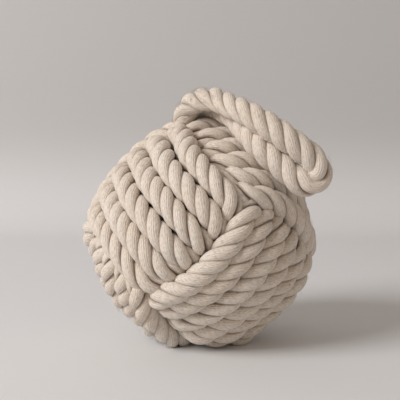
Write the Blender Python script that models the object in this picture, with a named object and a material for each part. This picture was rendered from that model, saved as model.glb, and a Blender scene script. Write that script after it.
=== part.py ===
"""Rope knot doorstop: a monkey's fist of thick cotton rope over a bag of sand, with a rope handle.

Lengths are written in millimetres times MM, so that Blender gets metres. The ball's centre is the middle of
three sets of turns at right angles. Each set runs outside on one pair of faces and inside on the next pair.
The part stands on the floor at z = 0, with its origin under the middle of its bounding box.
"""
import math

import bmesh
import bpy
import numpy as np
from mathutils import Matrix, Vector

MM = 0.001

# Driving dimensions of the rope and its turns
TURNS = 6
POINTS_PER_TURN = 24
ROPE_RADIUS = 8.8 * MM
SQUEEZED_RADIUS = 6.2 * MM
OUTER_RADIUS = 78.2 * MM
INNER_RADIUS = 56.5 * MM
OUTER_PITCH = 18.5 * MM
INNER_PITCH = 13.5 * MM
EDGE_LIFT_OUTSIDE = 2.9 * MM
EDGE_LIFT_INSIDE = 0.35 * MM
SHOULDER_RISE = 0.8 * MM
EDGE_SHOULDER_RISE = 1.7 * MM
DIVE_ANGLE = math.radians(47.6)
DIVE_SHARPNESS = 4.7
DRAW_IN_ANGLE = math.radians(29.0)
DRAW_IN_SHARPNESS = 4.1
SQUEEZE_ANGLE = math.radians(28.6)
CROSSOVER_HALF_ANGLE = math.radians(30.0)
END_STEPS_HELD_BACK = 1

# How the knot sits: its top corner leans back and to the left
KNOT_SPIN = math.radians(-124.8)
LEAN = math.radians(9.7)
LEAN_AZIMUTH = math.radians(156.6)
FLOOR_CUT = 1.7 * MM

# The soft underside, which gives where the ball stands, by distance from its upright axis and by height
BASE_RISE = 4.8 * MM
BASE_FLAT_RADIUS = 27.5 * MM
BASE_FADE_START = 28.0 * MM
BASE_FADE_END = 56.0 * MM
BASE_TOP = 10.0 * MM
BASE_FULL_HEIGHT = -40.0 * MM

# The handle: its route from the front root over the arch, round the tip and back to the rear root,
# measured from the ball's centre
HANDLE_RADIUS = 8.3 * MM
HANDLE_ROUTE = [
    (-13, 6, 87), (-11, 4, 95), (-7, -1, 101), (-2, -7, 104), (4, -14, 105), (11, -22, 105),
    (18, -31, 102), (25, -39, 99), (34, -48, 95), (44, -54, 89), (54, -57, 83), (65, -58, 75),
    (75, -57, 68), (83, -56, 60), (86, -55, 52), (83, -55, 46), (77, -55, 44), (70, -55, 47),
    (62, -53, 54), (53, -51, 62), (45, -49, 69), (38, -43, 77), (32, -33, 84), (26, -19, 91),
    (18, -4, 96), (9, 9, 99), (0, 21, 94),
]
HANDLE_POINTS_PER_SPAN = 2
ROUND_END_RINGS = 3
ROUND_END_ANGLE = math.radians(78.0)

# The tucked ends, pressed into the creases between the turns
TUCK_RADIUS = 6.0 * MM
TUCK_DEPTH = 9.0 * MM

# The ballast inside
BAG_WALL = 1.5 * MM
BAG_SHOULDER_ANGLE = math.radians(32.0)
BAG_NECK_RADIUS = 4.6 * MM
BAG_NECK_BORE = 2.0 * MM
BAG_NECK_BASE = 41.0 * MM
BAG_NECK_TOP = 50.0 * MM
TIE_CORD_RADIUS = 1.2 * MM
BAG_SEGMENTS = 32
BAG_RINGS = 14
SAND_EDGE_DROP = math.radians(3.0)
SAND_CLEARANCE = 0.6 * MM
TIE_SEGMENTS = 20
TIE_SIDES = 8

# Shared clearance between pieces that touch, the sides of a rope, and the steps per point in measuring gaps
GAP = 0.3 * MM
ROPE_SIDES = 6
FINE_STEPS = 3


def clear_scene():
    for item in list(bpy.data.objects):
        bpy.data.objects.remove(item, do_unlink=True)


def make_material(name, colour, roughness, metallic=0.0):
    material = bpy.data.materials.new(name)
    material.use_nodes = True
    shader = material.node_tree.nodes["Principled BSDF"]
    shader.inputs["Base Color"].default_value = (*colour, 1.0)
    shader.inputs["Roughness"].default_value = roughness
    shader.inputs["Metallic"].default_value = metallic
    material.diffuse_color = (*colour, 1.0)
    return material


def knot_axes():
    """The unit axes of the front, rear and right faces, as the leaning knot carries them."""
    face_elevation = math.asin(1.0 / math.sqrt(3.0))
    lean_axis = Vector((-math.sin(LEAN_AZIMUTH), math.cos(LEAN_AZIMUTH), 0.0))
    lean = Matrix.Rotation(LEAN, 3, lean_axis)
    axes = []
    for third in (0, 2, 1):
        azimuth = KNOT_SPIN + third * math.radians(120.0)
        level = math.cos(face_elevation)
        axis = Vector((level * math.cos(azimuth), level * math.sin(azimuth), math.sin(face_elevation)))
        axes.append(np.array(lean @ axis))
    return axes


def outside_share(angle, change_angle, sharpness):
    """1 on the outer passes at 0 and 180 degrees, 0 on the inner ones, changing at change_angle."""
    def ramp(double_cosine):
        return math.tanh(sharpness * (double_cosine - math.cos(2.0 * change_angle)))
    return (ramp(math.cos(2.0 * angle)) - ramp(-1.0)) / (ramp(1.0) - ramp(-1.0))


def turn_number(angle):
    """Counts from the set's middle. It climbs by one within each crossover, which is centred on -90 degrees."""
    passed = (angle + math.radians(90.0)) / math.radians(360.0)
    nearest = round(passed)
    from_crossover = (passed - nearest) * math.radians(360.0)
    climb = max(-1.0, min(1.0, from_crossover / CROSSOVER_HALF_ANGLE)) / 2.0
    return nearest + climb - TURNS / 2.0


def turn_point(angle):
    """One point of a set in its own axes (outer face, inner face, winding axis), and the rope's radius."""
    number = turn_number(angle)
    outside = outside_share(angle, DIVE_ANGLE, DIVE_SHARPNESS)
    shoulder = math.sin(2.0 * angle) ** 2
    edge = (abs(number) / ((TURNS - 1) / 2.0)) ** 3
    distance = INNER_RADIUS + (OUTER_RADIUS - INNER_RADIUS) * outside + SHOULDER_RISE * shoulder
    distance += edge * (EDGE_LIFT_INSIDE + (EDGE_LIFT_OUTSIDE - EDGE_LIFT_INSIDE) * outside)
    distance += edge * EDGE_SHOULDER_RISE * shoulder
    spread = outside_share(angle, DRAW_IN_ANGLE, DRAW_IN_SHARPNESS)
    along = number * (INNER_PITCH + (OUTER_PITCH - INNER_PITCH) * spread)
    reach = math.sqrt(distance ** 2 - along ** 2)
    full = outside_share(angle, SQUEEZE_ANGLE, DIVE_SHARPNESS)
    radius = SQUEEZED_RADIUS + (ROPE_RADIUS - SQUEEZED_RADIUS) * full
    return (reach * math.cos(angle), reach * math.sin(angle), along), radius


def turn_set(outer_axis, inner_axis, winding_axis):
    """The centreline of one set of turns, round the ball's centre, and its radii."""
    points = []
    radii = []
    for step in range(END_STEPS_HELD_BACK, TURNS * POINTS_PER_TURN + 1 - END_STEPS_HELD_BACK):
        angle = math.radians(-90.0) + step * math.radians(360.0) / POINTS_PER_TURN
        (outward, inward, along), radius = turn_point(angle)
        points.append(outward * outer_axis + inward * inner_axis + along * winding_axis)
        radii.append(radius)
    return np.array(points), np.array(radii)


def smooth_share(value):
    """0 up to 0 and 1 from 1 on, with level ends."""
    value = max(0.0, min(1.0, value))
    return value * value * (3.0 - 2.0 * value)


def settled(point):
    """Where a point of the ball, from its centre, lies once the underside has given."""
    across = math.hypot(point[0], point[1])
    near = 1.0 - smooth_share((across - BASE_FADE_START) / (BASE_FADE_END - BASE_FADE_START))
    deep = smooth_share((BASE_TOP - point[2]) / (BASE_TOP - BASE_FULL_HEIGHT))
    rise = BASE_RISE * (1.0 - (across / BASE_FLAT_RADIUS) ** 2) * near * deep
    return (point[0], point[1], point[2] + rise)


def settle_mesh(mesh, centre):
    """Gives a mesh that lies round the ball's centre the flattened underside."""
    for vertex in mesh.vertices:
        from_centre = vertex.co - Vector(centre)
        vertex.co = Vector(centre) + Vector(settled(from_centre))
    return mesh


def smooth_route(route, points_per_span):
    """A curve through every point of the route."""
    route = np.array(route, dtype=float)
    first = 2.0 * route[0] - route[1]
    last = 2.0 * route[-1] - route[-2]
    padded = np.vstack([first, route, last])
    points = []
    for start in range(1, len(padded) - 2):
        before, here, there, after = padded[start - 1:start + 3]
        for step in range(points_per_span):
            t = step / points_per_span
            pull = 2.0 * before - 5.0 * here + 4.0 * there - after
            bend = -before + 3.0 * here - 3.0 * there + after
            points.append(0.5 * (2.0 * here + (there - before) * t + pull * t ** 2 + bend * t ** 3))
    points.append(route[-1])
    return np.array(points)


def round_the_ends(points, radius):
    """Adds a domed cap beyond each end, centred on the end point."""
    points = list(points)
    radii = [radius] * len(points)
    for end, inside in ((0, 1), (-1, -2)):
        outward = points[end] - points[inside]
        outward = outward / np.linalg.norm(outward)
        centre = points[end]
        for ring in range(1, ROUND_END_RINGS + 1):
            lift = ROUND_END_ANGLE * ring / ROUND_END_RINGS
            cap_point = centre + outward * radius * math.sin(lift)
            place = 0 if end == 0 else len(points)
            points.insert(place, cap_point)
            radii.insert(place, radius * math.cos(lift))
    return np.array(points), np.array(radii)


def tube_mesh(name, points, radii):
    """One unbroken tube with filled ends."""
    curve = bpy.data.curves.new(name + "_path", "CURVE")
    curve.dimensions = "3D"
    curve.bevel_depth = 1.0
    curve.bevel_resolution = (ROPE_SIDES - 4) // 2
    curve.use_fill_caps = True
    curve.twist_mode = "MINIMUM"
    spline = curve.splines.new("POLY")
    spline.points.add(len(points) - 1)
    for place, point, radius in zip(spline.points, points, radii):
        place.co = (*point, 1.0)
        place.radius = radius
    guide = bpy.data.objects.new(name + "_guide", curve)
    bpy.context.scene.collection.objects.link(guide)
    graph = bpy.context.evaluated_depsgraph_get()
    mesh = bpy.data.meshes.new_from_object(guide.evaluated_get(graph))
    bpy.data.objects.remove(guide, do_unlink=True)
    shape = bmesh.new()
    shape.from_mesh(mesh)
    bmesh.ops.remove_doubles(shape, verts=shape.verts, dist=0.01 * MM)
    bmesh.ops.recalc_face_normals(shape, faces=shape.faces)
    shape.to_mesh(mesh)
    shape.free()
    mesh.name = name
    return mesh


def add_object(name, mesh, material):
    item = bpy.data.objects.new(name, mesh)
    bpy.context.scene.collection.objects.link(item)
    mesh.materials.clear()
    mesh.materials.append(material)
    return item


def add_cutter(name, mesh):
    item = bpy.data.objects.new(name, mesh)
    bpy.context.scene.collection.objects.link(item)
    item.hide_render = True
    item.display_type = "WIRE"
    return item


def cut(item, cutter):
    modifier = item.modifiers.new("cut_" + cutter.name, "BOOLEAN")
    modifier.operation = "DIFFERENCE"
    modifier.solver = "EXACT"
    modifier.object = cutter


def box_mesh(name, low, high):
    mesh = bpy.data.meshes.new(name)
    shape = bmesh.new()
    bmesh.ops.create_cube(shape, size=1.0)
    size = Vector(high) - Vector(low)
    middle = (Vector(high) + Vector(low)) / 2.0
    for vertex in shape.verts:
        vertex.co = Vector(a * b for a, b in zip(vertex.co, size)) + middle
    shape.to_mesh(mesh)
    shape.free()
    return mesh


def turned_mesh(name, profile, segments, frame):
    """Spins a closed profile of (radius, height) points round the frame's Z axis."""
    shape = bmesh.new()
    vertices = [shape.verts.new((radius, 0.0, height)) for radius, height in profile]
    edges = [shape.edges.new((a, b)) for a, b in zip(vertices, vertices[1:])]
    if profile[0][0] > 0.0:
        edges.append(shape.edges.new((vertices[-1], vertices[0])))
    bmesh.ops.spin(
        shape, geom=vertices + edges, cent=(0, 0, 0), axis=(0, 0, 1),
        angle=math.radians(360.0), steps=segments, use_merge=True,
    )
    bmesh.ops.remove_doubles(shape, verts=shape.verts, dist=0.01 * MM)
    bmesh.ops.recalc_face_normals(shape, faces=shape.faces)
    bmesh.ops.transform(shape, matrix=frame, verts=shape.verts)
    mesh = bpy.data.meshes.new(name)
    shape.to_mesh(mesh)
    shape.free()
    return mesh


def arc_points(radius, start, end, steps):
    """Points on a circle, by the angle from the upper pole."""
    angles = [start + (end - start) * step / steps for step in range(steps + 1)]
    return [(max(radius * math.sin(angle), 0.0), radius * math.cos(angle)) for angle in angles]


def least_gap(first, first_radii, second=None, second_radii=None):
    """The least space between two tubes, or between stretches of one that lie a third of a turn or more apart."""
    def dense(points, radii):
        shares = [step / FINE_STEPS for step in range(FINE_STEPS)]
        fine = [points[:-1] + (points[1:] - points[:-1]) * share for share in shares]
        fine_radii = [radii[:-1] + (radii[1:] - radii[:-1]) * share for share in shares]
        return np.stack(fine, 1).reshape(-1, 3), np.stack(fine_radii, 1).reshape(-1)
    a, radius_a = dense(first, first_radii)
    b, radius_b = (a, radius_a) if second is None else dense(second, second_radii)
    space = np.linalg.norm(a[:, None] - b[None], axis=2) - radius_a[:, None] - radius_b[None]
    if second is None:
        index = np.arange(len(a))
        space = space[np.abs(index[:, None] - index[None]) > FINE_STEPS * POINTS_PER_TURN // 3]
    return float(space.min())


def least_squeeze(points):
    """The smallest share that any short distance near these points keeps when the underside gives."""
    step = 0.01 * MM
    shares = []
    for point in points:
        here = np.array(settled(point))
        slopes = [(np.array(settled(point + step * axis)) - here) / step for axis in np.eye(3)]
        shares.append(np.linalg.svd(np.array(slopes), compute_uv=False).min())
    return float(min(shares))


def build():
    clear_scene()
    rope = make_material("natural_cotton_rope", (0.70, 0.62, 0.52), 0.92)
    canvas = make_material("bag_canvas", (0.55, 0.50, 0.42), 0.9)
    sand = make_material("dry_sand", (0.50, 0.40, 0.27), 0.95)
    twine = make_material("tie_twine", (0.42, 0.33, 0.22), 0.85)

    # Routes round the ball's centre
    front, rear, right = knot_axes()
    sets = {
        "first_turns": turn_set(front, rear, right),
        "second_turns": turn_set(rear, right, front),
        "third_turns": turn_set(right, front, rear),
    }
    handle_route = np.array(HANDLE_ROUTE) * MM
    handle_points = smooth_route(handle_route, HANDLE_POINTS_PER_SPAN)
    handle_radii = np.full(len(handle_points), HANDLE_RADIUS)

    # Stand the ball on the floor and put the origin under the middle of the bounding box
    surfaces = [(np.array([settled(point) for point in points]), radii[:, None]) for points, radii in sets.values()]
    surfaces.append((handle_points, handle_radii[:, None]))
    low = np.min([np.min(points - radii, axis=0) for points, radii in surfaces], axis=0)
    high = np.max([np.max(points + radii, axis=0) for points, radii in surfaces], axis=0)
    centre = np.array([-(low[0] + high[0]) / 2.0, -(low[1] + high[1]) / 2.0, -(low[2] + FLOOR_CUT)])
    print("ball centre, mm:", [round(float(value) / MM, 3) for value in centre])

    # The three sets of turns, cut flat where they stand
    size = OUTER_RADIUS * 3.0
    floor = add_cutter("floor_cutter", box_mesh("floor_cutter", (-size, -size, -size), (size, size, 0.0)))
    for name, (points, radii) in sets.items():
        item = add_object(name, settle_mesh(tube_mesh(name, points + centre, radii), centre), rope)
        cut(item, floor)
    names = list(sets)
    for index, name in enumerate(names):
        squeeze = least_squeeze(sets[name][0])
        print(name, "least gap to itself, mm:", round(squeeze * least_gap(*sets[name]) / MM, 3))
        other = names[(index + 1) % len(names)]
        gap = min(squeeze, least_squeeze(sets[other][0])) * least_gap(*sets[name], *sets[other])
        print(name, "least gap to", other + ", mm:", round(gap / MM, 3))
    print("handle_loop least gap to itself, mm:", round(least_gap(handle_points, handle_radii) / MM, 3))
    for name in names:
        gap = least_gap(*sets[name], handle_points, handle_radii)
        print("handle_loop least gap to", name + ", mm:", round(gap / MM, 3))

    # The handle, with domed ends that turn on the line through both roots
    front_root = handle_points[0] + centre
    rear_root = handle_points[-1] + centre
    capped_points, capped_radii = round_the_ends(handle_points, HANDLE_RADIUS)
    pivot = (front_root + rear_root) / 2.0
    handle_mesh = tube_mesh("handle_loop", capped_points + centre - pivot, capped_radii)
    handle = add_object("handle_loop", handle_mesh, rope)
    handle.location = pivot
    axis = (front_root - rear_root) / np.linalg.norm(front_root - rear_root)
    print("handle pivot, mm:", [round(float(value) / MM, 3) for value in pivot])
    print("handle axis:", [round(float(value), 5) for value in axis])

    # The handle's tucked ends, pressed into the knot below each root
    cutters = []
    for name, (points, radii) in sets.items():
        grown = tube_mesh(name + "_seat", points + centre, radii + GAP)
        cutters.append(add_cutter(name + "_seat_cutter", grown))
    for name, root in (("front_tuck", front_root), ("rear_tuck", rear_root)):
        inward = (centre - root) / np.linalg.norm(centre - root)
        top = root + inward * (HANDLE_RADIUS + GAP)
        route = [top, top + inward * TUCK_DEPTH / 2.0, top + inward * TUCK_DEPTH]
        tuck = add_object(name, tube_mesh(name, np.array(route), np.full(3, TUCK_RADIUS)), rope)
        for cutter in cutters:
            cut(tuck, cutter)

    # The ballast bag, its sand and its tie, with the neck up under the top corner
    upright = Vector((front + rear + right) / math.sqrt(3.0))
    frame = Matrix.Translation(Vector(centre)) @ upright.to_track_quat("Z", "Y").to_matrix().to_4x4()
    facet = math.cos(math.radians(180.0) / POINTS_PER_TURN)
    bag_radius = INNER_RADIUS * facet - SQUEEZED_RADIUS - GAP
    lining = bag_radius - BAG_WALL
    half_turn = math.radians(180.0)
    outside = arc_points(bag_radius, half_turn, BAG_SHOULDER_ANGLE, BAG_RINGS)
    inside = arc_points(lining, BAG_SHOULDER_ANGLE, half_turn, BAG_RINGS)
    neck = [
        (BAG_NECK_RADIUS + BAG_WALL, BAG_NECK_BASE - BAG_WALL), (BAG_NECK_RADIUS, BAG_NECK_BASE),
        (BAG_NECK_RADIUS, BAG_NECK_BASE + 3.0 * TIE_CORD_RADIUS), (BAG_NECK_RADIUS + GAP, BAG_NECK_TOP),
        (BAG_NECK_BORE, BAG_NECK_TOP), (BAG_NECK_BORE, BAG_NECK_BASE - 2.0 * BAG_WALL),
    ]
    bag_mesh = turned_mesh("ballast_bag", outside + neck + inside, BAG_SEGMENTS, frame)
    bag = add_object("ballast_bag", settle_mesh(bag_mesh, centre), canvas)
    fill_radius = lining - SAND_CLEARANCE
    fill_top = BAG_SHOULDER_ANGLE + SAND_EDGE_DROP
    fill_height = BAG_NECK_BASE - 2.0 * BAG_WALL - SAND_CLEARANCE
    fill = arc_points(fill_radius, half_turn, fill_top, BAG_RINGS) + [(0.0, fill_height)]
    sand_mesh = turned_mesh("ballast_sand", fill, BAG_SEGMENTS, frame)
    filling = add_object("ballast_sand", settle_mesh(sand_mesh, centre), sand)
    tie_centre = BAG_NECK_RADIUS + GAP + TIE_CORD_RADIUS
    tie_height = BAG_NECK_BASE + 1.5 * TIE_CORD_RADIUS
    corners = [math.radians(360.0) * corner / TIE_SIDES for corner in range(TIE_SIDES)]
    ring = [
        (tie_centre + TIE_CORD_RADIUS * math.cos(corner), tie_height + TIE_CORD_RADIUS * math.sin(corner))
        for corner in corners
    ]
    tie = add_object("bag_tie", turned_mesh("bag_tie", ring, TIE_SEGMENTS, frame), twine)
    for item in (bag, filling, tie):
        item.data.shade_smooth()


build()
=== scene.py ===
# %% [markdown]
# # Rope knot doorstop
# A heavy ball that holds a door open. It is tied from thick laid cotton rope as a monkey's fist: three sets
# of six turns at right angles, each over one set and under the next, wound on a bag of sand. The rope ends
# in a loop handle at the top. The solids are already in place. This lesson dresses them: each plain tube
# becomes a rope of three twisted strands, and the light and the camera follow the photograph.

import math

import bmesh
import bpy
import numpy as np
from mathutils import Matrix, Vector


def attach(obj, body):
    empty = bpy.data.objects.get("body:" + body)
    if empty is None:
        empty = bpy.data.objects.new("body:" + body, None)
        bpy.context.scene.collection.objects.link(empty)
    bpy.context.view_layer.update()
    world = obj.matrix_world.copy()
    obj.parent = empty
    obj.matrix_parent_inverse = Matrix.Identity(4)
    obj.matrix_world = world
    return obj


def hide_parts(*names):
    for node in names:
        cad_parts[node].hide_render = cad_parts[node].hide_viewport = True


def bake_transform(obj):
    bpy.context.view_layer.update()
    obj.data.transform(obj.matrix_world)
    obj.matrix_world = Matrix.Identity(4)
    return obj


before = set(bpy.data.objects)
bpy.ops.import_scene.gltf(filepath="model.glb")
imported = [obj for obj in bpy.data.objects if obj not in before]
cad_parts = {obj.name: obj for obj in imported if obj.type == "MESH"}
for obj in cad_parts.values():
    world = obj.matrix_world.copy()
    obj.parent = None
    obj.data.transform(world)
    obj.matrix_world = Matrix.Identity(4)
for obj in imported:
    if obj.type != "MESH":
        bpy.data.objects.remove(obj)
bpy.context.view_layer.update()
bpy.ops.object.select_all(action="DESELECT")
scene = bpy.context.scene
MM = 0.001
print("solids:", sorted(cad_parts))

# %% [markdown]
# ## The camera
# The photograph looks a little down at the ball from the front. The camera stands 0.74 m away, and a long
# lens keeps the ball round. It sits where it sees the ball's centre 8 degrees below it, and aims a little
# above the ball, because the ball lies low in the frame.

# %% Place the camera
BALL_CENTRE = Vector((-2.434, 0.0, 83.962)) * MM
VIEW_DOWN = math.radians(8.0)
CAMERA_DISTANCE = 0.74
FRAME_WIDTH_AT_BALL = 0.3155
AIM_ABOVE_BALL = 0.0268
AIM_RIGHT_OF_BALL = -0.0004
SENSOR_MM = 36.0

camera_data = bpy.data.cameras.new("camera")
camera = bpy.data.objects.new("camera", camera_data)
scene.collection.objects.link(camera)
away = Vector((0.0, -math.cos(VIEW_DOWN), math.sin(VIEW_DOWN)))
camera.location = BALL_CENTRE + away * CAMERA_DISTANCE
aim = BALL_CENTRE + Vector((AIM_RIGHT_OF_BALL, 0.0, AIM_ABOVE_BALL))
camera.rotation_euler = (aim - camera.location).to_track_quat("-Z", "Y").to_euler()
camera_data.sensor_width = SENSOR_MM
camera_data.lens = SENSOR_MM * CAMERA_DISTANCE / FRAME_WIDTH_AT_BALL
scene.camera = camera
print("lens, mm:", round(camera_data.lens, 1))

# %% [markdown]
# ## The knot's axes
# A monkey's fist has six faces, as a cube has. This one stands on a corner, with the handle at the corner
# above, so three of its faces look upwards: front, rear and right. The soft ball has also rolled about ten
# degrees to the left and a little back. Three unit axes say all of this, and every turn is placed along them.

# %% The axes of the three upper faces
KNOT_SPIN = math.radians(-124.8)
LEAN = math.radians(9.7)
LEAN_AZIMUTH = math.radians(156.6)
FACES_APART = math.radians(120.0)


def knot_axes():
    """The unit axes of the front, rear and right faces, as the leaning knot carries them."""
    face_elevation = math.asin(1.0 / math.sqrt(3.0))
    lean_axis = Vector((-math.sin(LEAN_AZIMUTH), math.cos(LEAN_AZIMUTH), 0.0))
    lean = Matrix.Rotation(LEAN, 3, lean_axis)
    axes = []
    for third in (0, 2, 1):
        azimuth = KNOT_SPIN + third * FACES_APART
        level = math.cos(face_elevation)
        axis = Vector((level * math.cos(azimuth), level * math.sin(azimuth), math.sin(face_elevation)))
        axes.append(np.array(lean @ axis))
    return axes


front, rear, right = knot_axes()
print("the front face looks along", np.round(front, 2))

# %% [markdown]
# ## Outside and inside passes
# A turn runs on the outside of the ball over two opposite faces. Between them it dives under the edge of
# the next set and crosses inside, where there is less room, so the turns there lie closer and the rope is
# pressed thinner. A share, 1 outside and 0 inside, blends each measure from one pass to the other, at its
# own angle. The measures start from the solids' own, but the dressed rope is about a millimetre thicker, and
# its outer turns lie a little closer together and nearer to the ball's centre than the plain tubes do.

# %% Measures of the passes
TURNS = 6
OUTER_RADIUS = 77.6 * MM
INNER_RADIUS = 56.5 * MM
OUTER_PITCH = 17.8 * MM
INNER_PITCH = 13.5 * MM
FULL_ROPE_RADIUS = 9.3 * MM
PRESSED_ROPE_RADIUS = 7.0 * MM
DIVE_ANGLE = math.radians(49.2)
DIVE_SHARPNESS = 4.7
DRAW_IN_ANGLE = math.radians(44.0)
DRAW_IN_SHARPNESS = 6.5
PRESS_ANGLE = math.radians(50.0)


def smooth_share(value):
    """0 below 0 and 1 above 1, with a smooth rise between them."""
    value = np.clip(value, 0.0, 1.0)
    return value * value * (3.0 - 2.0 * value)


def outside_share(angle, change_angle, sharpness):
    """1 on the outer passes at 0 and 180 degrees, 0 on the inner ones."""
    limit = np.cos(2.0 * change_angle)
    low = np.tanh(sharpness * (-1.0 - limit))
    high = np.tanh(sharpness * (1.0 - limit))
    return (np.tanh(sharpness * (np.cos(2.0 * angle) - limit)) - low) / (high - low)


share_at_dive = float(outside_share(DIVE_ANGLE, DIVE_ANGLE, DIVE_SHARPNESS))
print("share outside where a turn dives:", round(share_at_dive, 2))

# %% [markdown]
# ## Turns pulled aside
# Such a knot is never quite even. When it is pulled tight, some turns are drawn about ten millimetres
# aside, some dive sooner or later than the others, and one stays slack. So each pull is given as the angle
# where it is strongest, the six turns' shifts in millimetres and the degrees by which they dive later. It
# fades out to both sides of its angle.

# %% Pulls and slack
TURN_NUMBERS = (-2.5, -1.5, -0.5, 0.5, 1.5, 2.5)
EVEN = (0.0,) * TURNS
NO_SLACK = (0.0, 0.0, 0.0)
# Cosines of the angle from a pull's own place
PULL_FADED = 0.45
PULL_WHOLE = 0.8
SLACK_FADED = 0.86


def pulled_aside(angle, number, pulls):
    """How far the turns are drawn aside at each angle, and how much later they dive."""
    aside, later = np.zeros_like(angle), np.zeros_like(angle)
    for pulled_at, shifts, late in pulls:
        near = np.cos(angle - math.radians(pulled_at))
        pulled = smooth_share((near - PULL_FADED) / (PULL_WHOLE - PULL_FADED))
        aside += pulled * np.interp(number, TURN_NUMBERS, shifts) * MM
        later += pulled * math.radians(late)
    return aside, later


def slack_lift(angle, number, slack):
    """How far a turn stands out round the one place where it was left slack."""
    slack_at, slack_number, height = slack
    near = (np.cos(angle - math.radians(slack_at)) - SLACK_FADED) / (1.0 - SLACK_FADED)
    return height * smooth_share(near) * smooth_share(1.0 - np.abs(number - slack_number))


print("a pull has faded out at, degrees:", round(math.degrees(math.acos(PULL_FADED))))

# %% [markdown]
# ## One turn
# A set is wound without a break, so one formula in the angle round the ball gives all of its six turns.
# While the rope is inside, it moves one place sideways, to where the next turn comes out. The outermost
# turns ride a little higher than the middle ones, and most of all on the shoulders between the outer and
# the inner passes. Two slow waves keep the turns from being too regular.

# %% The route of a set
EDGE_LIFT_OUTSIDE = 2.2 * MM
EDGE_LIFT_INSIDE = 0.35 * MM
SHOULDER_RISE = 0.8 * MM
EDGE_SHOULDER_RISE = 1.7 * MM
CROSSOVER_HALF_ANGLE = math.radians(30.0)
WHOLE_TURN = math.radians(360.0)
UNEVENNESS = 0.5 * MM
WAVES_OUTWARD = 2.3
WAVES_ASIDE = 3.1


def turn_number(angle):
    """The rope's place in its set, from -2.5 to 2.5. It moves on while the rope is inside."""
    passed = (angle + math.radians(90.0)) / WHOLE_TURN
    nearest = np.round(passed)
    climb = np.clip((passed - nearest) * WHOLE_TURN / CROSSOVER_HALF_ANGLE, -1.0, 1.0) / 2.0
    return nearest + climb - TURNS / 2.0


def turn_route(angle, seed, pulls, slack):
    """Points in a set's own axes and the rope's radius, for an array of angles."""
    number = turn_number(angle)
    aside, later = pulled_aside(angle, number, pulls)
    outside = outside_share(angle, DIVE_ANGLE + later, DIVE_SHARPNESS)
    shoulder = np.sin(2.0 * angle) ** 2
    edge = (np.abs(number) / ((TURNS - 1) / 2.0)) ** 3
    distance = INNER_RADIUS + (OUTER_RADIUS - INNER_RADIUS) * outside + SHOULDER_RISE * shoulder
    distance = distance + edge * (EDGE_LIFT_INSIDE + (EDGE_LIFT_OUTSIDE - EDGE_LIFT_INSIDE) * outside)
    distance = distance + edge * EDGE_SHOULDER_RISE * shoulder
    distance = distance + UNEVENNESS * np.sin(WAVES_OUTWARD * angle + seed) * outside
    distance = distance + slack_lift(angle, number, slack)
    spread = outside_share(angle, DRAW_IN_ANGLE + later, DRAW_IN_SHARPNESS)
    along = number * (INNER_PITCH + (OUTER_PITCH - INNER_PITCH) * spread)
    along = along + aside * outside + UNEVENNESS * np.sin(WAVES_ASIDE * angle + 2.0 * seed) * outside
    reach = np.sqrt(distance ** 2 - along ** 2)
    full = outside_share(angle, PRESS_ANGLE + later, DIVE_SHARPNESS)
    radius = PRESSED_ROPE_RADIUS + (FULL_ROPE_RADIUS - PRESSED_ROPE_RADIUS) * full
    return np.stack([reach * np.cos(angle), reach * np.sin(angle), along], axis=1), radius


print("rope thickness outside and inside, mm:", 2.0 * FULL_ROPE_RADIUS / MM, 2.0 * PRESSED_ROPE_RADIUS / MM)

# %% [markdown]
# ## The flattened underside
# A rope ball is soft and heavy, so it gives where it stands and doesn't roll. The lowest points are raised
# in the middle and let down a little round it, which makes the underside flat. The change fades out to the
# sides and upwards.

# %% Settle the underside
BASE_RISE = 4.8 * MM
BASE_FLAT_RADIUS = 27.5 * MM
BASE_FADE_START = 28.0 * MM
BASE_FADE_END = 56.0 * MM
BASE_TOP = 10.0 * MM
BASE_FULL_HEIGHT = -40.0 * MM


def settled(points):
    """Points round the ball's centre, once the soft underside has given where it stands."""
    across = np.hypot(points[:, 0], points[:, 1])
    near = 1.0 - smooth_share((across - BASE_FADE_START) / (BASE_FADE_END - BASE_FADE_START))
    deep = smooth_share((BASE_TOP - points[:, 2]) / (BASE_TOP - BASE_FULL_HEIGHT))
    moved = points.copy()
    moved[:, 2] += BASE_RISE * (1.0 - (across / BASE_FLAT_RADIUS) ** 2) * near * deep
    return moved


def on_the_floor(points):
    """Settles a set's points and puts them round the ball's place, down to the floor and no lower."""
    placed = settled(points) + np.array(BALL_CENTRE)
    placed[:, 2] = np.maximum(placed[:, 2], 0.0)
    return placed


print("the underside gives by, mm:", BASE_RISE / MM)

# %% [markdown]
# ## Laid rope
# The rope is laid: three strands twist round each other to the right, once in 42 mm, as the slant of the
# strands in the photograph shows. A screw modifier could twist a straight rope, but this one bends all
# along its length. So each strand is swept along a helix round the route. A frame that never spins by
# itself carries the helix, so that the lay stays even where the rope turns.

# %% Carry a frame along a route
FRAME_START = (0.0, 0.0, 1.0)
FRAME_START_IF_UPRIGHT = (1.0, 0.0, 0.0)
NEARLY_UPRIGHT = 0.1


def carried_frame(points):
    """Tangents and two side directions that turn no more than the route does."""
    tangents = np.gradient(points, axis=0)
    tangents /= np.linalg.norm(tangents, axis=1)[:, None]
    first = np.cross(tangents[0], FRAME_START)
    if np.linalg.norm(first) < NEARLY_UPRIGHT:
        first = np.cross(tangents[0], FRAME_START_IF_UPRIGHT)
    sides = [first / np.linalg.norm(first)]
    for tangent in tangents[1:]:
        side = sides[-1] - tangent * (sides[-1] @ tangent)
        sides.append(side / np.linalg.norm(side))
    sides = np.array(sides)
    return tangents, sides, np.cross(tangents, sides)


def travelled(points):
    """The distance along the route at each point."""
    steps = np.linalg.norm(np.diff(points, axis=0), axis=1)
    return np.concatenate([[0.0], np.cumsum(steps)])


lap, _ = turn_route(np.linspace(0.0, WHOLE_TURN, 226), 0.0, [], NO_SLACK)
print("one turn's length, mm:", round(float(travelled(lap)[-1]) / MM))

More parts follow.
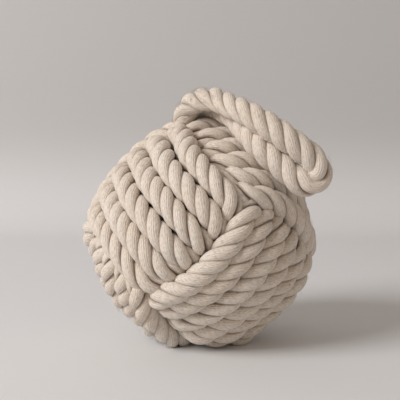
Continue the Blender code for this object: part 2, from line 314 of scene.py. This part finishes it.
# %% [markdown]
# ## One strand
# Each strand is a little wider than it is deep, because its neighbours press it. Cotton is never quite
# even either: the strand swells and thins by a few hundredths every 37 mm, and the lay opens and closes
# slowly. A strand's place and size are shares of the rope's radius, so it thins where the rope is pressed.

# %% Sweep a strand
STRANDS = 3
LAY_LENGTH = 42.0 * MM
LAY_WANDER = 0.35
LAY_WANDER_LENGTH = 3.1 * LAY_LENGTH
STRAND_CENTRE = 0.54
STRAND_DEPTH = 0.46
STRAND_WIDTH = 0.52
STRAND_SIDES = 16
STRAND_SWELL = 0.04
SWELL_LENGTH = 37.0 * MM
SWELL_STEP = 2.1


def strand_points(points, radii, phase, strand):
    """The rings of one strand, and how far each ring's points lie from the rope's own axis."""
    _, side, up = carried_frame(points)
    run = travelled(points)
    turn = 2.0 * math.pi * (run / LAY_LENGTH + strand / STRANDS) + phase
    turn = turn + LAY_WANDER * np.sin(run / LAY_WANDER_LENGTH * 2.0 * math.pi + phase)
    outward = np.cos(turn)[:, None] * side + np.sin(turn)[:, None] * up
    centres = points + outward * (radii * STRAND_CENTRE)[:, None]
    tangent = np.gradient(centres, axis=0)
    tangent /= np.linalg.norm(tangent, axis=1)[:, None]
    depth = outward - tangent * np.sum(outward * tangent, axis=1)[:, None]
    depth /= np.linalg.norm(depth, axis=1)[:, None]
    width = np.cross(tangent, depth)
    swell = 1.0 + STRAND_SWELL * np.sin(2.0 * math.pi * run / SWELL_LENGTH + SWELL_STEP * strand + phase)
    round_angles = math.pi + 2.0 * math.pi * np.arange(STRAND_SIDES) / STRAND_SIDES
    deep = (radii * swell * STRAND_DEPTH)[:, None, None] * np.cos(round_angles)[None, :, None]
    wide = (radii * swell * STRAND_WIDTH)[:, None, None] * np.sin(round_angles)[None, :, None]
    rings = centres[:, None, :] + (deep * depth[:, None, :] + wide * width[:, None, :])
    from_axis = np.linalg.norm(rings - points[:, None, :], axis=2) / radii[:, None]
    return rings, from_axis, travelled(centres)


print("strands:", STRANDS, "lay, mm:", LAY_LENGTH / MM)

# %% [markdown]
# ## A mesh of strands
# A strand is a tube: rings of points, four-sided faces between them and a cap at each end. Its UV map
# holds real lengths in metres, along the strand and round it, which the yarns of the finish follow. How
# deep a point lies in the rope is kept as an attribute, for the painted shade in the grooves.

# %% Faces and lengths of a strand
STRAND_GIRTH = 2.0 * math.pi * FULL_ROPE_RADIUS * STRAND_WIDTH


def strand_faces(start, count, sides):
    """The faces between the rings of one strand, then its two caps."""
    ring = np.arange(count - 1)[:, None]
    side = np.arange(sides)[None, :]
    after = (side + 1) % sides
    quads = np.stack([
        start + ring * sides + side, start + ring * sides + after,
        start + (ring + 1) * sides + after, start + (ring + 1) * sides + side,
    ], axis=2).reshape(-1, 4)
    first_cap = [start + place for place in range(sides)][::-1]
    last_cap = [start + (count - 1) * sides + place for place in range(sides)]
    return [*quads.tolist(), first_cap, last_cap]


def strand_uvs(run, sides):
    """The corners of the same faces, in metres along the strand and round it."""
    shape = (len(run) - 1, sides)
    low = np.broadcast_to(STRAND_GIRTH * np.arange(sides)[None, :] / sides, shape)
    high = low + STRAND_GIRTH / sides
    here = np.broadcast_to(run[:-1, None], shape)
    there = np.broadcast_to(run[1:, None], shape)
    walls = np.stack([here, low, here, high, there, high, there, low], axis=2).reshape(-1, 2)
    caps = np.zeros((2 * sides, 2))
    return np.vstack([walls, caps])


print("round a strand, mm:", round(STRAND_GIRTH / MM, 1))

# %% [markdown]
# ## One piece
# The three strands of a rope could stay three objects, but they move together and share a finish, so they
# become one mesh. The loose fibres are made into a piece in the same way.

# %% Turn the strands into one piece
def rope_piece(name, strands, material, shape=None):
    """A mesh of closed strands. The shape, if any, moves the points, such as down to the floor."""
    vertices, faces, uvs, depths = [], [], [], []
    start = 0
    for rings, from_axis, run in strands:
        count, sides, _ = rings.shape
        vertices.append(rings.reshape(-1, 3))
        depths.append(from_axis.reshape(-1))
        faces.extend(strand_faces(start, count, sides))
        uvs.append(strand_uvs(run, sides))
        start += count * sides
    points = np.vstack(vertices)
    if shape is not None:
        points = shape(points)
    mesh = bpy.data.meshes.new(name)
    mesh.from_pydata(points.tolist(), [], faces)
    layer = mesh.uv_layers.new(name="strand_lengths")
    layer.data.foreach_set("uv", np.vstack(uvs).astype(np.float32).ravel())
    depth = mesh.attributes.new("from_axis", "FLOAT", "POINT")
    depth.data.foreach_set("value", np.concatenate(depths).astype(np.float32))
    mesh.materials.append(material)
    mesh.shade_smooth()
    piece = bpy.data.objects.new(name, mesh)
    scene.collection.objects.link(piece)
    print(name, len(mesh.vertices), "points")
    return piece


# %% [markdown]
# ## Colours and nodes
# Colours are written as sRGB hex values, as they are read off a screen. A shader works in linear light, so
# one function turns them. Another adds a node with its settings, and links each input that is a socket.

# %% Colours and nodes
def srgb(hex_colour):
    """A written colour as the linear values that the shader takes."""
    values = [int(hex_colour[place:place + 2], 16) / 255.0 for place in (1, 3, 5)]
    linear = [v / 12.92 if v <= 0.04045 else ((v + 0.055) / 1.055) ** 2.4 for v in values]
    return (*linear, 1.0)


def add_node(material, kind, settings=None, inputs=None):
    """Adds a node with its settings, values and links. An input that is a socket is linked."""
    node = material.node_tree.nodes.new(kind)
    for key, value in (settings or {}).items():
        setattr(node, key, value)
    for key, value in (inputs or {}).items():
        if isinstance(value, bpy.types.NodeSocket):
            material.node_tree.links.new(value, node.inputs[key])
        else:
            node.inputs[key].default_value = value
    return node


def new_material(name, colour, roughness):
    """A material with one colour and roughness, and its shader, to which the detail is linked."""
    material = bpy.data.materials.new(name)
    material.use_nodes = True
    shader = material.node_tree.nodes["Principled BSDF"]
    shader.inputs["Base Color"].default_value = srgb(colour)
    shader.inputs["Roughness"].default_value = roughness
    return material, shader


print("a mid grey in linear light:", round(srgb("#808080")[0], 3))

# %% [markdown]
# ## The relief of the cotton
# The rope is natural cotton, unbleached: carded fibres are spun soft into yarns, and 18 yarns twist to the
# left into a strand. They show as fine ridges at a slant on each strand, so they are counted from the
# strand's own lengths and drawn as a bump. The fibres of a yarn are about 0.02 mm thick, too fine to
# show. They are drawn as streaks about 0.7 mm wide and 2.4 mm long instead.

# %% Yarns and fibres
YARNS_PER_STRAND = 18
YARN_SLANT = math.tan(math.radians(20.0))
YARN_WANDER = 5.0
WANDERS_PER_METRE = 160.0
STREAKS_PER_METRE = (420.0, 1500.0, 1.0)
STREAK_HEIGHT = 1.2
RELIEF_STRENGTH = 0.8
RELIEF_DEPTH = 0.5 * MM


def yarn_ridges(material, lengths, wander):
    """A ridge for each yarn, at a slant, with a slight wander."""
    split = add_node(material, "ShaderNodeSeparateXYZ", inputs={"Vector": lengths.outputs["UV"]})
    slant = add_node(material, "ShaderNodeMath", {"operation": "MULTIPLY_ADD"}, {
        0: split.outputs["X"], 1: YARN_SLANT, 2: split.outputs["Y"],
    })
    counted = add_node(material, "ShaderNodeMath", {"operation": "MULTIPLY"}, {
        0: slant.outputs[0], 1: 2.0 * math.pi * YARNS_PER_STRAND / STRAND_GIRTH,
    })
    wandered = add_node(material, "ShaderNodeMath", {"operation": "MULTIPLY_ADD"}, {
        0: wander.outputs["Fac"], 1: YARN_WANDER, 2: counted.outputs[0],
    })
    wave = add_node(material, "ShaderNodeMath", {"operation": "SINE"}, {0: wandered.outputs[0]})
    ridge = add_node(material, "ShaderNodeMath", {"operation": "MULTIPLY_ADD"}, {
        0: wave.outputs[0], 1: 0.5, 2: 0.5,
    })
    return add_node(material, "ShaderNodeMath", {"operation": "MULTIPLY"}, {
        0: ridge.outputs[0], 1: wander.outputs["Fac"],
    })


def cotton_relief(material, shader, place):
    """The bump of yarns and fibres. It gives the streaks back, which the colour follows too."""
    lengths = add_node(material, "ShaderNodeUVMap", {"uv_map": "strand_lengths"})
    wander = add_node(material, "ShaderNodeTexNoise", inputs={
        "Vector": place, "Scale": WANDERS_PER_METRE, "Detail": 2.0, "Roughness": 0.5,
    })
    streak_place = add_node(material, "ShaderNodeMapping", {"vector_type": "POINT"}, {
        "Vector": lengths.outputs["UV"], "Scale": STREAKS_PER_METRE,
    })
    streaks = add_node(material, "ShaderNodeTexNoise", inputs={
        "Vector": streak_place.outputs["Vector"], "Scale": 1.0, "Detail": 3.0, "Roughness": 0.6,
    })
    ridges = yarn_ridges(material, lengths, wander)
    height = add_node(material, "ShaderNodeMath", {"operation": "MULTIPLY_ADD"}, {
        0: streaks.outputs["Fac"], 1: STREAK_HEIGHT, 2: ridges.outputs[0],
    })
    bump = add_node(material, "ShaderNodeBump", inputs={
        "Strength": RELIEF_STRENGTH, "Distance": RELIEF_DEPTH, "Height": height.outputs[0],
    })
    material.node_tree.links.new(bump.outputs["Normal"], shader.inputs["Normal"])
    return streaks


print("a yarn is about, mm:", round(STRAND_GIRTH / YARNS_PER_STRAND / MM, 2))

# %% [markdown]
# ## The colour of the cotton
# Unbleached cotton is a pale cream with warmer patches a few centimetres across. The valleys between
# fibres are browner. The grooves between strands are painted darker and browner: this is painted shade, with
# some dust that gathers there. A groove is found by the depth attribute, from 0.86 of the rope's radius
# inwards. Each change is one mix of colours.

# %% Patches, valleys and grooves
PATCHES_PER_METRE = 28.0


def cotton_colour(material, place, streaks, pale, warm, groove):
    """Pale cream with warm patches, brown between the fibres, and painted shade in the grooves."""
    patches = add_node(material, "ShaderNodeTexNoise", inputs={
        "Vector": place, "Scale": PATCHES_PER_METRE, "Detail": 3.0, "Roughness": 0.6,
    })
    patch_share = add_node(material, "ShaderNodeMapRange", inputs={
        "Value": patches.outputs["Fac"], "From Min": 0.42, "From Max": 0.68, "To Min": 0.0, "To Max": 0.45,
    })
    patched = add_node(material, "ShaderNodeMix", {"data_type": "RGBA"}, {
        "Factor": patch_share.outputs[0], "A": srgb(pale), "B": srgb(warm),
    })
    valley = add_node(material, "ShaderNodeMapRange", inputs={
        "Value": streaks.outputs["Fac"], "From Min": 0.3, "From Max": 0.57, "To Min": 0.42, "To Max": 0.0,
    })
    yarned = add_node(material, "ShaderNodeMix", {"data_type": "RGBA"}, {
        "Factor": valley.outputs[0], "A": patched.outputs["Result"], "B": srgb(groove),
    })
    # Painted shade: the grooves between strands are mixed towards the brown groove colour, the deeper the
    # more.
    depth = add_node(material, "ShaderNodeAttribute", {"attribute_name": "from_axis"})
    painted_groove_shade = add_node(material, "ShaderNodeMapRange", inputs={
        "Value": depth.outputs["Fac"], "From Min": 0.64, "From Max": 0.86, "To Min": 0.9, "To Max": 0.0,
    })
    shaded_in_grooves = add_node(material, "ShaderNodeMix", {"data_type": "RGBA"}, {
        "Factor": painted_groove_shade.outputs[0], "A": yarned.outputs["Result"], "B": srgb(groove),
    })
    return shaded_in_grooves.outputs["Result"]


print("a patch is about, mm:", round(1.0 / PATCHES_PER_METRE / MM))

# %% [markdown]
# ## Seed specks
# Carding leaves a few crumbs of the cotton seed's husk in the yarn. They are drawn about a millimetre
# across, at the centres of cells 10 mm wide, and a second pattern keeps only some of them, so that they
# don't look evenly spread.

# %% Seed specks and the whole finish
SPECK_CELLS_PER_METRE = 95.0
SPECK_REGIONS_PER_METRE = 60.0


def specked(material, place, ground, speck):
    """The same colour with a dark speck here and there."""
    cells = add_node(material, "ShaderNodeTexVoronoi", {"feature": "F1"}, {
        "Vector": place, "Scale": SPECK_CELLS_PER_METRE,
    })
    regions = add_node(material, "ShaderNodeTexNoise", inputs={
        "Vector": place, "Scale": SPECK_REGIONS_PER_METRE, "Detail": 1.0,
    })
    close = add_node(material, "ShaderNodeMapRange", inputs={
        "Value": cells.outputs["Distance"], "From Min": 0.03, "From Max": 0.07, "To Min": 1.0, "To Max": 0.0,
    })
    seldom = add_node(material, "ShaderNodeMapRange", inputs={
        "Value": regions.outputs["Fac"], "From Min": 0.56, "From Max": 0.6, "To Min": 0.0, "To Max": 0.8,
    })
    speck_share = add_node(material, "ShaderNodeMath", {"operation": "MULTIPLY"}, {
        0: close.outputs[0], 1: seldom.outputs[0],
    })
    coloured = add_node(material, "ShaderNodeMix", {"data_type": "RGBA"}, {
        "Factor": speck_share.outputs[0], "A": ground, "B": srgb(speck),
    })
    return coloured.outputs["Result"]


def cotton_material(name, pale, warm, groove, speck):
    """Soft laid cotton: quite matt, because loose fibres scatter the light, with a downy pale edge."""
    material, shader = new_material(name, pale, 0.92)
    place = add_node(material, "ShaderNodeTexCoord").outputs["Object"]
    streaks = cotton_relief(material, shader, place)
    ground = cotton_colour(material, place, streaks, pale, warm, groove)
    material.node_tree.links.new(specked(material, place, ground, speck), shader.inputs["Base Color"])
    shader.inputs["Specular IOR Level"].default_value = 0.2
    shader.inputs["Sheen Weight"].default_value = 0.25
    shader.inputs["Sheen Roughness"].default_value = 0.6
    return material


cotton = cotton_material("natural_cotton_laid", "#ECE2D6", "#E2D1BE", "#6E4A2E", "#6E5640")
print(cotton.name, "has", len(cotton.node_tree.nodes), "nodes")

# %% [markdown]
# ## Winding a set
# Each set is one long rope. It is swept at 1.6 degrees a step, which is a ring about every 2 mm and about
# twenty for each time that a strand goes round. The rope's two ends stop a little short, inside the ball,
# where they can't be seen.

# %% Wind a set
STEP = math.radians(1.6)
HELD_BACK = math.radians(15.0)


def wind_set(name, node, axes, phase, pulls, slack=NO_SLACK):
    """Winds one set's rope round the three axes: outwards, inwards and along the row of turns."""
    first = math.radians(-90.0) + HELD_BACK
    last = math.radians(-90.0 + 360.0 * TURNS) - HELD_BACK
    angles = np.linspace(first, last, int(round((last - first) / STEP)) + 1)
    local, radii = turn_route(angles, phase, pulls, slack)
    points = local @ np.array(axes)
    strands = [strand_points(points, radii, phase, strand) for strand in range(STRANDS)]
    piece = rope_piece(name, strands, cotton, on_the_floor)
    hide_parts(node)
    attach(piece, "knot")
    print(name, "rope length, m:", round(float(travelled(points)[-1]), 2))
    return points, radii


# %% [markdown]
# ## The three sets
# Seen from the front, the first set lies over the upper left, the third over the upper right and the
# second over the lower right. The third set's turns were drawn up to 10.5 mm forwards and down, the far ends
# of the first set's turns dive 9 degrees early, and one turn at the far left stands out 3 mm.

# %% Wind the three sets
first_route = wind_set("first_rope", "first_turns", (front, rear, right), 0.4, [
    (-45.0, (-0.4, -3.0, -3.5, -3.5, -3.7, -4.0), 3.5),
    (45.0, EVEN, -9.0),
])
second_route = wind_set("second_rope", "second_turns", (rear, right, front), 1.9, [
    (180.0, (0.0, 0.0, 0.0, -0.5, -1.5, -4.5), -3.0),
    (0.0, (3.0, 3.2, 4.0, 4.9, 5.3, 4.8), 0.0),
    (50.0, EVEN, 3.0),
    (-50.0, EVEN, 5.0),
])
third_route = wind_set("third_rope", "third_turns", (right, front, rear), 3.3, [
    (0.0, (-4.5, -8.0, -10.0, -10.5, -9.0, -6.5), 0.0),
    (180.0, (0.0, 0.0, 0.0, -1.0, -2.5, -5.0), 0.0),
], slack=(140.0, 2.5, 3.0 * MM))

# %% [markdown]
# ## The handle's route
# The handle is a bight of the same rope. It comes up at the top corner, arches over, lies down to the
# right with its two legs together, and returns to the corner. Both ends go down between the turns, where
# they are held. A curve through the solids' own points, in millimetres from the ball's centre, carries it.

# %% Route the handle
HANDLE_ROUTE = [
    (-13, 6, 87), (-11, 4, 95), (-7, -1, 101), (-2, -7, 104), (4, -14, 105), (11, -22, 105),
    (18, -31, 102), (25, -39, 99), (34, -48, 95), (44, -54, 89), (54, -57, 83), (65, -58, 75),
    (75, -57, 68), (83, -56, 60), (86, -55, 52), (83, -55, 46), (77, -55, 44), (70, -55, 47),
    (62, -53, 54), (53, -51, 62), (45, -49, 69), (38, -43, 77), (32, -33, 84), (26, -19, 91),
    (18, -4, 96), (9, 9, 99), (0, 21, 94),
]
HANDLE_STEPS = 8
TUCKED_LENGTH = 13.0 * MM


def smooth_route(route, steps):
    """A curve through every point of the route."""
    padded = np.vstack([2.0 * route[0] - route[1], route, 2.0 * route[-1] - route[-2]])
    points = []
    for start in range(1, len(padded) - 2):
        before, here, there, after = padded[start - 1:start + 3]
        for step in range(steps):
            t = step / steps
            pull = 2.0 * before - 5.0 * here + 4.0 * there - after
            bend = -before + 3.0 * here - 3.0 * there + after
            points.append(0.5 * (2.0 * here + (there - before) * t + pull * t ** 2 + bend * t ** 3))
    points.append(route[-1])
    return np.array(points)


handle_route = np.array(HANDLE_ROUTE, dtype=float) * MM
tucked_ends = []
for end in (0, -1):
    inward = -handle_route[end] / np.linalg.norm(handle_route[end])
    tucked_ends.append(handle_route[end] + inward * TUCKED_LENGTH)
whole_route = np.vstack([tucked_ends[0], handle_route, tucked_ends[1]])
handle_points = smooth_route(whole_route, HANDLE_STEPS) + np.array(BALL_CENTRE)

# %% [markdown]
# ## Laying up the handle
# The two legs lie close side by side. The rope is drawn a little thicker there, up to the tip, which closes
# the gap between them. The handle can be lifted upright.

# %% Lay up the handle
HANDLE_ROPE_RADIUS = 9.2 * MM
LEG_ROPE_RADIUS = 10.1 * MM
# Distances to the right of the middle, between which the legs thicken and thin again
LEGS_FROM = 20.0 * MM
LEGS_WHOLE = 45.0 * MM
TIP_FROM = 82.0 * MM
TIP_WHOLE = 94.0 * MM
HANDLE_PHASE = 0.9

along_x = handle_points[:, 0]
in_the_legs = smooth_share((along_x - LEGS_FROM) / (LEGS_WHOLE - LEGS_FROM))
in_the_legs = in_the_legs * (1.0 - smooth_share((along_x - TIP_FROM) / (TIP_WHOLE - TIP_FROM)))
handle_radii = HANDLE_ROPE_RADIUS + (LEG_ROPE_RADIUS - HANDLE_ROPE_RADIUS) * in_the_legs
strands = [strand_points(handle_points, handle_radii, HANDLE_PHASE, strand) for strand in range(STRANDS)]
handle_rope = rope_piece("handle_rope", strands, cotton)
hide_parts("handle_loop", "front_tuck", "rear_tuck")
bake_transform(handle_rope)

# %% [markdown]
# ## Loose fibres
# Soft-spun cotton grows a thin down of loose fibres. A particle system could grow them, but fibres made as
# mesh are exported with the rest. Each is a bent tube of three sides that leaves the rope's outside and
# tapers to its tip. Real ones are about 0.02 mm thick, so these, at 0.2 mm, are drawn coarser and fewer.

# %% Grow the fibres
FIBRE_RADIUS = 0.1 * MM
FIBRE_SIDES = 3
FIBRE_POINTS = 5
FIBRE_LENGTHS = (1.5 * MM, 4.5 * MM)
FIBRE_LIFTS = (0.15, 0.7)
FIBRE_CURLS = (-0.5, 0.5)
FIBRE_DROOP = 0.45
FIBRE_TIP = 0.3
ROOT_DEPTH = 0.97


def fibre_lines(points, radii, count, random):
    """The lines of fibres spread over a rope's outside, with two directions across each."""
    tangents, side, up = carried_frame(points)
    at = random.randint(2, len(points) - 2, count)
    turn = random.uniform(0.0, 2.0 * math.pi, (count, 1))
    outward = np.cos(turn) * side[at] + np.sin(turn) * up[at]
    across = np.cross(tangents[at], outward)
    roots = points[at] + outward * (ROOT_DEPTH * radii[at])[:, None]
    lie = random.uniform(0.0, 2.0 * math.pi, (count, 1))
    heading = np.cos(lie) * tangents[at] + np.sin(lie) * across
    aside = np.cross(outward, heading)
    length = random.uniform(*FIBRE_LENGTHS, (count, 1))
    lift = random.uniform(*FIBRE_LIFTS, (count, 1))
    curl = random.uniform(*FIBRE_CURLS, (count, 1))
    grown = []
    for t in np.linspace(0.0, 1.0, FIBRE_POINTS):
        rise = outward * lift * t * (1.0 - FIBRE_DROOP * t)
        grown.append(roots + length * (heading * t + rise + aside * curl * t * t))
    return np.stack(grown, axis=1), outward, aside


def fibres(points, radii, count, seed, wanted):
    """Fibres on the outside of a rope, at the roots that the given test wants."""
    lines, outward, aside = fibre_lines(points, radii, count, np.random.RandomState(seed))
    angles = 2.0 * math.pi * np.arange(FIBRE_SIDES) / FIBRE_SIDES
    taper = np.linspace(1.0, FIBRE_TIP, FIBRE_POINTS)[:, None, None]
    grown = []
    # A line's first point is its root
    for k in np.flatnonzero(wanted(lines[:, 0])):
        ring = np.cos(angles)[:, None] * outward[k] + np.sin(angles)[:, None] * aside[k]
        rings = lines[k][:, None, :] + FIBRE_RADIUS * taper * ring[None, :, :]
        grown.append((rings, np.ones(rings.shape[:2]), travelled(lines[k])))
    return grown


print("fibres are up to, mm:", FIBRE_LENGTHS[1] / MM)

# %% [markdown]
# ## Down on the ball
# A thin down covers the ball, and more of it stands where the ball is scuffed along the floor, low on the
# left. Many roots are tried and the ones that lie inside the knot are dropped.

# %% Fibres on the ball
DOWN_TRIES = 2600
SCUFF_TRIES = 12000
SCUFF_SEED = 10
OUTSIDE = 77.0 * MM
SCUFFED_BELOW = -55.0 * MM


def thin_down(roots):
    return np.linalg.norm(roots, axis=1) > OUTSIDE


def scuffed(roots):
    return thin_down(roots) & (roots[:, 2] < SCUFFED_BELOW) & (roots[:, 0] < 0.0)


ball_fibres = []
for seed, (points, radii) in enumerate((first_route, second_route, third_route)):
    ball_fibres += fibres(points, radii, DOWN_TRIES, seed, thin_down)
    ball_fibres += fibres(points, radii, SCUFF_TRIES, seed + SCUFF_SEED, scuffed)
ball_down = rope_piece("ball_down", ball_fibres, cotton, on_the_floor)
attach(ball_down, "knot")
print("fibres on the ball:", len(ball_fibres))

# %% [markdown]
# ## Down on the handle
# On the handle the down is thickest on the arch, where a hand rubs it.

# %% Fibres on the handle
HANDLE_DOWN_TRIES = 700
HANDLE_DOWN_SEED = 20
RUBBED_TRIES = 2600
RUBBED_SEED = 21
RUBBED_LEFT_OF = 12.0 * MM
RUBBED_ABOVE = 170.0 * MM


def above_the_floor(roots):
    return roots[:, 2] > 0.0


def rubbed(roots):
    return (roots[:, 0] < RUBBED_LEFT_OF) & (roots[:, 2] > RUBBED_ABOVE)


handle_fibres = fibres(handle_points, handle_radii, HANDLE_DOWN_TRIES, HANDLE_DOWN_SEED, above_the_floor)
handle_fibres += fibres(handle_points, handle_radii, RUBBED_TRIES, RUBBED_SEED, rubbed)
handle_down = rope_piece("handle_down", handle_fibres, cotton)
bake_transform(handle_down)
print("fibres on the handle:", len(handle_fibres))

# %% [markdown]
# ## The ballast
# Inside lies a canvas bag of dry sand, tied at the neck with jute twine. It hardly shows, only as a dark
# weave between turns, but it is what makes the ball heavy. Canvas is plain woven and twine is spun thick:
# both are dull, in small squares of two tones, 1.1 and 1.4 mm wide, which is coarser than real canvas. The
# sand gets squares of 0.56 mm, in place of its grains.

# %% Bag, sand and tie
def small_squares(name, colour, shade, squares_per_metre, roughness):
    """A dull finish of two tones in small raised squares."""
    material, shader = new_material(name, colour, roughness)
    place = add_node(material, "ShaderNodeTexCoord")
    squares = add_node(material, "ShaderNodeTexChecker", inputs={
        "Vector": place.outputs["Object"], "Scale": squares_per_metre,
        "Color1": srgb(colour), "Color2": srgb(shade),
    })
    material.node_tree.links.new(squares.outputs["Color"], shader.inputs["Base Color"])
    bump = add_node(material, "ShaderNodeBump", inputs={
        "Strength": 0.4, "Distance": 0.2 * MM, "Height": squares.outputs["Fac"],
    })
    material.node_tree.links.new(bump.outputs["Normal"], shader.inputs["Normal"])
    return material


canvas = small_squares("cotton_canvas", "#9C917F", "#857A69", 900.0, 0.95)
twine = small_squares("jute_twine", "#7A6547", "#5F4C33", 700.0, 0.9)
sand = small_squares("dry_sand_grains", "#B29D78", "#8E7A58", 1800.0, 1.0)
for node, material in (("ballast_bag", canvas), ("bag_tie", twine), ("ballast_sand", sand)):
    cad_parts[node].data.materials.clear()
    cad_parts[node].data.materials.append(material)
    print(node, "is finished as", material.name)

# %% [markdown]
# ## Floor and backdrop
# The ball stands on a plain pale floor that sweeps up into a plain wall, as a studio's roll of paper does.
# A plane is resized in edit mode, its back edge is extruded upwards, and the fold between them is bevelled
# round.

# %% Model the sweep
WALL_DISTANCE = 0.75
SWEEP_RADIUS = 0.20
HALF_WIDTH = 2.5
FLOOR_FRONT = -2.5
WALL_TOP = 2.4
SWEEP_STEPS = 12

bpy.ops.mesh.primitive_plane_add(size=1.0, location=(0.0, 0.0, 0.0))
floor = bpy.context.object
floor.name = "floor_sweep"
bpy.ops.object.mode_set(mode="EDIT")
bpy.ops.transform.resize(value=(2.0 * HALF_WIDTH, WALL_DISTANCE - FLOOR_FRONT, 1.0))
bpy.ops.transform.translate(value=(0.0, (WALL_DISTANCE + FLOOR_FRONT) / 2.0, 0.0))


def select_edges(piece, wanted):
    """Selects, in edit mode, the edges whose middle is wanted."""
    bpy.ops.mesh.select_mode(type="EDGE")
    bpy.ops.mesh.select_all(action="DESELECT")
    shape = bmesh.from_edit_mesh(piece.data)
    for edge in shape.edges:
        edge.select_set(wanted((edge.verts[0].co + edge.verts[1].co) / 2.0))
    bmesh.update_edit_mesh(piece.data)


def at_the_fold(middle):
    return abs(middle.y - WALL_DISTANCE) < MM and abs(middle.z) < MM


select_edges(floor, at_the_fold)
bpy.ops.mesh.extrude_region_move(TRANSFORM_OT_translate={"value": (0.0, 0.0, WALL_TOP)})
select_edges(floor, at_the_fold)
bpy.ops.mesh.bevel(offset=SWEEP_RADIUS, offset_type="OFFSET", segments=SWEEP_STEPS, affect="EDGES")
bpy.ops.object.mode_set(mode="OBJECT")
bpy.ops.object.shade_smooth()
print("floor faces:", len(floor.data.polygons))

# %% [markdown]
# ## The paper
# Studio paper is pressed smooth and uncoated, so it is matt and takes soft shadows without a shine. The
# wall is the same paper, painted a little darker than the floor as painted shade, so the paper's tone changes
# over its first 160 mm of height.

# %% Paper for the floor and the wall
FLOOR_PAPER = "#E3E4E6"
# Painted shade: the wall's paper is drawn darker than the floor's
SHADED_WALL_PAPER = "#C5C4C4"
WALL_SHADED_ABOVE = 0.16

paper, paper_shader = new_material("matt_studio_paper", FLOOR_PAPER, 0.8)
paper_place = add_node(paper, "ShaderNodeTexCoord")
paper_axes = add_node(paper, "ShaderNodeSeparateXYZ", inputs={"Vector": paper_place.outputs["Object"]})
up_the_wall = add_node(paper, "ShaderNodeMapRange", {"interpolation_type": "SMOOTHSTEP"}, {
    "Value": paper_axes.outputs["Z"], "From Min": 0.0, "From Max": WALL_SHADED_ABOVE,
})
# Painted shade: the paper darkens up the wall
painted_wall_shade = add_node(paper, "ShaderNodeMix", {"data_type": "RGBA"}, {
    "Factor": up_the_wall.outputs[0], "A": srgb(FLOOR_PAPER), "B": srgb(SHADED_WALL_PAPER),
})
paper.node_tree.links.new(painted_wall_shade.outputs["Result"], paper_shader.inputs["Base Color"])
floor.data.materials.append(paper)
print("the floor is finished as", paper.name)

# %% [markdown]
# ## Light
# A large soft lamp high on the left gives the soft shading of the photograph. A weak one fills from the
# right, and the world adds a pale warm light from all sides, which lightens the grooves.

# %% Lamps and world
LAMP_SIZE = 1.4
LIT_PLACE = (0.0, 0.0, 0.08)
WORLD_STRENGTH = 0.37


def soft_lamp(name, place, power, colour):
    """A round soft lamp that faces the ball."""
    data = bpy.data.lights.new(name, "AREA")
    data.shape = "DISK"
    data.size = LAMP_SIZE
    data.energy = power
    data.color = srgb(colour)[:3]
    lamp = bpy.data.objects.new(name, data)
    scene.collection.objects.link(lamp)
    lamp.location = place
    lamp.rotation_euler = (Vector(LIT_PLACE) - Vector(place)).to_track_quat("-Z", "Y").to_euler()
    print(name, "gives, W:", power)


soft_lamp("key_window", (-1.95, -1.2, 1.5), 55.0, "#FFFDFC")
soft_lamp("fill_card", (1.5, -0.9, 0.6), 0.8, "#FFF2E4")
world = bpy.data.worlds.new("studio")
scene.world = world
world.use_nodes = True
world.node_tree.nodes["Background"].inputs["Color"].default_value = srgb("#F3E4D5")
world.node_tree.nodes["Background"].inputs["Strength"].default_value = WORLD_STRENGTH
scene.view_settings.view_transform = "Standard"
